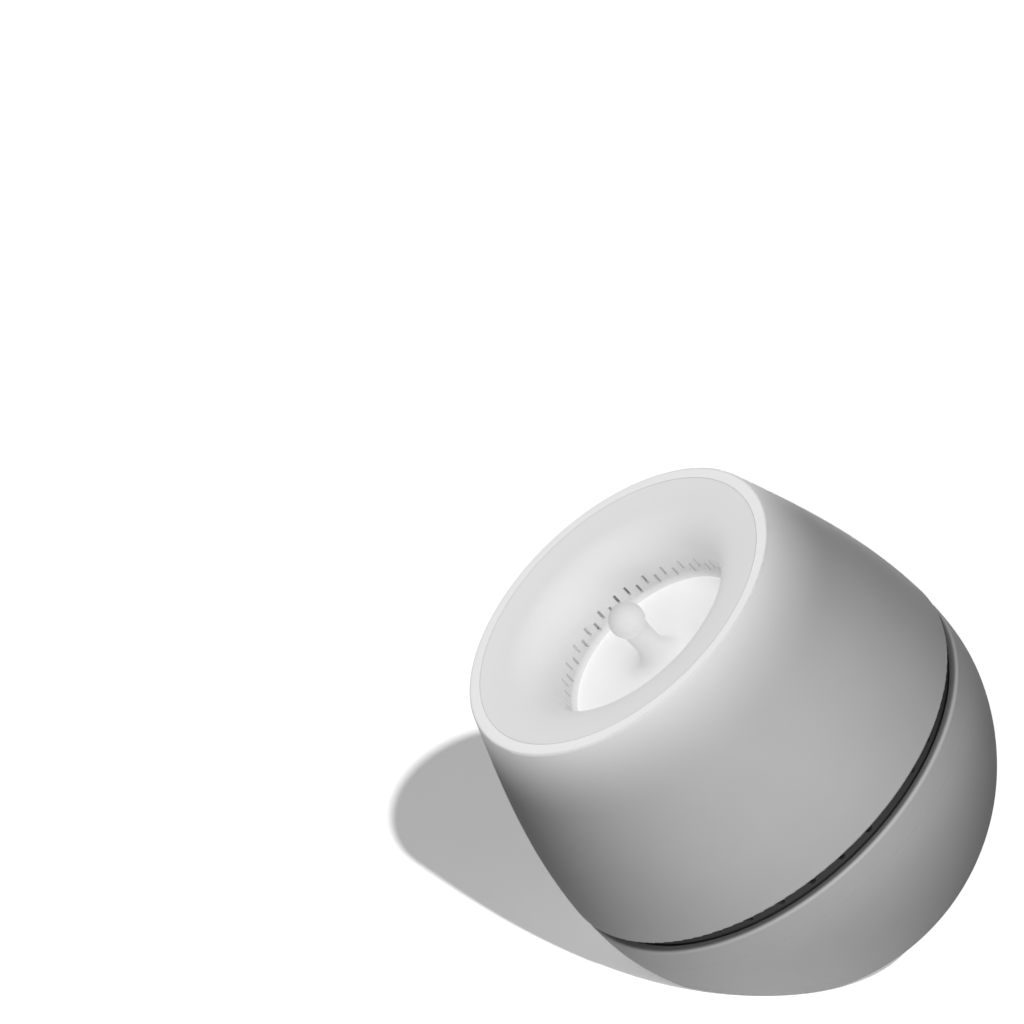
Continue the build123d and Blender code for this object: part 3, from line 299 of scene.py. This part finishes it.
MATT = {"Specular IOR Level": 0.01}     # next to no gloss, or the outline would shine
matt = partial(moulded, **MATT)
glossy = partial(moulded, relief=SMOOTH_RELIEF)
shell = partial(matt, colour=SHELL_WHITE, roughness=SHELL_ROUGHNESS)
OWN = {                         # these pieces' own materials, by node
    "upper_shell": partial(shell, "upper_shell_white", glow=painted_shell_glow),
    # painted shade on the lip's inner half
    "lower_shell": partial(shell, "lower_shell_white", paint=lip_painted_shade),
    "dial": partial(matt, "dial_white", colour=(0.66, 0.66, 0.66), roughness=0.60, glow=painted_dial_glow),
    # painted glow on the ball
    "ball_knob": partial(matt, "ball_white", colour=(0.62, 0.62, 0.62), roughness=0.55,
                         glow=partial(even_glow, level=BALL_GLOW)),
}
SLOTS = {                       # every other piece's material, by the record's slot
    "casing_white": shell,
    "dish_white": partial(matt, colour=(0.62, 0.62, 0.62), roughness=0.60, glow=painted_dish_glow),
    "groove_dark": partial(matt, colour=(0.085, 0.085, 0.087), roughness=0.55),
    "inner_grey": partial(matt, colour=(0.45, 0.45, 0.46), roughness=0.60),
    "inner_dark": partial(moulded, colour=(0.06, 0.06, 0.065), roughness=0.50),
    "rubber_grey": partial(moulded, colour=(0.10, 0.10, 0.10), roughness=0.85, grain=0.0004,
                           relief=0.00004),
    "steel": partial(metal, colour=(0.56, 0.56, 0.57), roughness=0.32),
    "motor_brown": partial(glossy, colour=(0.10, 0.07, 0.05), roughness=0.35),
    "magnet": partial(moulded, colour=(0.12, 0.12, 0.12), roughness=0.70, grain=0.0003, cloud=0.10),
    "brass": partial(metal, colour=(0.70, 0.55, 0.28), roughness=0.30),
    "board_green": partial(glossy, colour=(0.03, 0.22, 0.10), roughness=0.30, cloud=0.06),
    "led_lens": partial(moulded, colour=(0.92, 0.85, 0.55), roughness=0.20,
                        glow=partial(even_glow, level=LED_GLOW)),
    "connector": partial(moulded, colour=(0.85, 0.82, 0.74), roughness=0.45),
    "black_part": partial(moulded, colour=(0.03, 0.03, 0.03), roughness=0.40),
    "lead_red": partial(glossy, colour=(0.55, 0.04, 0.03), roughness=0.40),
    "lead_black": partial(glossy, colour=(0.02, 0.02, 0.02), roughness=0.40),
}


def dress(frame):
    """Each CAD node takes its own material, or else its slot's."""
    own = {piece: make() for piece, make in OWN.items()}
    shared = {slot: make(slot) for slot, make in SLOTS.items()}
    for part in frame["record"]["subparts"]:
        mesh = frame["nodes"][part["node"]].data
        mesh.materials.clear()
        mesh.materials.append(own.get(part["node"], shared[part["material_slot"]]))


# ---------------------------------------------------------------- floor and world
def seen_directly(tree):
    """1 for the rays that show a surface to the camera, straight or by way of gloss or glass."""
    path = node(tree, "ShaderNodeLightPath", {}).outputs
    straight_or_gloss = work_out(tree, "MAXIMUM", path["Is Camera Ray"], path["Is Glossy Ray"])
    return work_out(tree, "MAXIMUM", straight_or_gloss, path["Is Transmission Ray"])


def choose(tree, chooser, otherwise, chosen):
    """The chosen shader where the chooser is 1, and the other one where it is 0."""
    inputs = {0: chooser, 1: otherwise.outputs[0], 2: chosen.outputs[0]}
    return node(tree, "ShaderNodeMixShader", inputs)


def pale(level):
    return (level, level, level, 1.0)


def floor_material():
    """A floor that is white to the camera, and dim to the object away from the foot, with a painted pool
    of bounce light by the foot.
    """
    material = new_material("floor_white")
    tree = material.node_tree
    answer = node(tree, "ShaderNodeBsdfDiffuse", {"Color": pale(FLOOR_GAIN)})
    lift = node(tree, "ShaderNodeEmission", {"Color": pale(FLOOR_LIFT)})
    seen = node(tree, "ShaderNodeAddShader", {0: answer.outputs[0], 1: lift.outputs[0]})
    away = measure(tree, "LENGTH", object_place(tree))
    paleness = ramp(tree, away, PALENESS_REACH, NEAR_PALENESS, FAR_PALENESS,
                    interpolation_type="SMOOTHSTEP")
    bounce = node(tree, "ShaderNodeBsdfDiffuse", {"Color": paleness})
    output(tree, choose(tree, seen_directly(tree), bounce, seen))
    return material


def add_floor():
    bpy.ops.mesh.primitive_plane_add(size=FLOOR_SIZE)
    floor = bpy.context.object
    floor.name = "studio_floor"
    floor.data.materials.append(floor_material())
    return floor


def add_world():
    """A world that is white to the camera, and dim to the object."""
    world = bpy.data.worlds.new("studio")
    world.use_nodes = True
    tree = world.node_tree
    tree.nodes.clear()
    ambient = node(tree, "ShaderNodeBackground", {"Color": pale(1.0), "Strength": AMBIENT})
    white = node(tree, "ShaderNodeBackground", {"Color": pale(1.0), "Strength": BACKGROUND})
    mixed = choose(tree, seen_directly(tree), ambient, white)
    node(tree, "ShaderNodeOutputWorld", {"Surface": mixed.outputs[0]})
    bpy.context.scene.world = world


# ---------------------------------------------------------------- lamps and camera
def hang(lamp, came_from):
    """The lamp in the scene, shining from that side."""
    holder = bpy.data.objects.new(lamp.name, lamp)
    holder.rotation_euler = came_from.to_track_quat("Z", "Y").to_euler()
    bpy.context.scene.collection.objects.link(holder)
    return holder


def add_lamp(name, came_from, strength, angle):
    lamp = bpy.data.lights.new(name, "SUN")
    lamp.energy = strength
    lamp.angle = radians(angle)
    return hang(lamp, came_from)


def add_card():
    """A long softbox, low in front, that the camera doesn't see."""
    lamp = bpy.data.lights.new("card", "AREA")
    lamp.shape = "RECTANGLE"
    lamp.size, lamp.size_y = CARD_SIZE
    lamp.energy = CARD_POWER
    holder = hang(lamp, CARD_PLACE - CARD_AIM)
    holder.location = CARD_PLACE
    holder.visible_camera = False
    return holder


def light_alone(lamps, pieces):
    """The lamps reach those pieces and nothing else."""
    lit = bpy.data.collections.new("lit_pieces")
    for piece in pieces:
        lit.objects.link(piece)
    for lamp in lamps:
        lamp.light_linking.receiver_collection = lit


def add_lamps(pieces, floor):
    """Soft lamps and the softbox on the object, and one crisp lamp on the floor."""
    soft = [add_lamp(name, came_from, strength, SOFT_ANGLE)
            for name, (came_from, strength) in SOFT_LAMPS.items()]
    light_alone(soft + [add_card()], pieces)
    light_alone([add_lamp("floor_key", KEY_FROM, SHADOW_STRENGTH, SHADOW_ANGLE)], [floor])


def add_camera():
    around = radians(CAMERA_AZIMUTH)
    above = radians(CAMERA_ELEVATION)
    back = Vector((sin(around) * cos(above), -cos(around) * cos(above), sin(above)))
    lens = bpy.data.cameras.new("camera")
    lens.lens = CAMERA_LENS
    camera = bpy.data.objects.new("camera", lens)
    camera.location = CAMERA_AIM + back * CAMERA_DISTANCE
    camera.rotation_euler = back.to_track_quat("Z", "Y").to_euler()
    bpy.context.scene.collection.objects.link(camera)
    bpy.context.scene.camera = camera


# ---------------------------------------------------------------- the scene
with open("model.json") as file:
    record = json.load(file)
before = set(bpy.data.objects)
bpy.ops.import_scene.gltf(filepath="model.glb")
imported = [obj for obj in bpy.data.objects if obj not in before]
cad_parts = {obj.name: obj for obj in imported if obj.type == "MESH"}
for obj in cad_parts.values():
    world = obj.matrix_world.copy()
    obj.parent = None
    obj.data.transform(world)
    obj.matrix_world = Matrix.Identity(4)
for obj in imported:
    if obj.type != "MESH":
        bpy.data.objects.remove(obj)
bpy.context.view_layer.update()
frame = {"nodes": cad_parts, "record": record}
bpy.context.scene.view_settings.view_transform = "Standard"
dress(frame)
floor = add_floor()
add_world()
add_lamps(frame["nodes"].values(), floor)
add_camera()
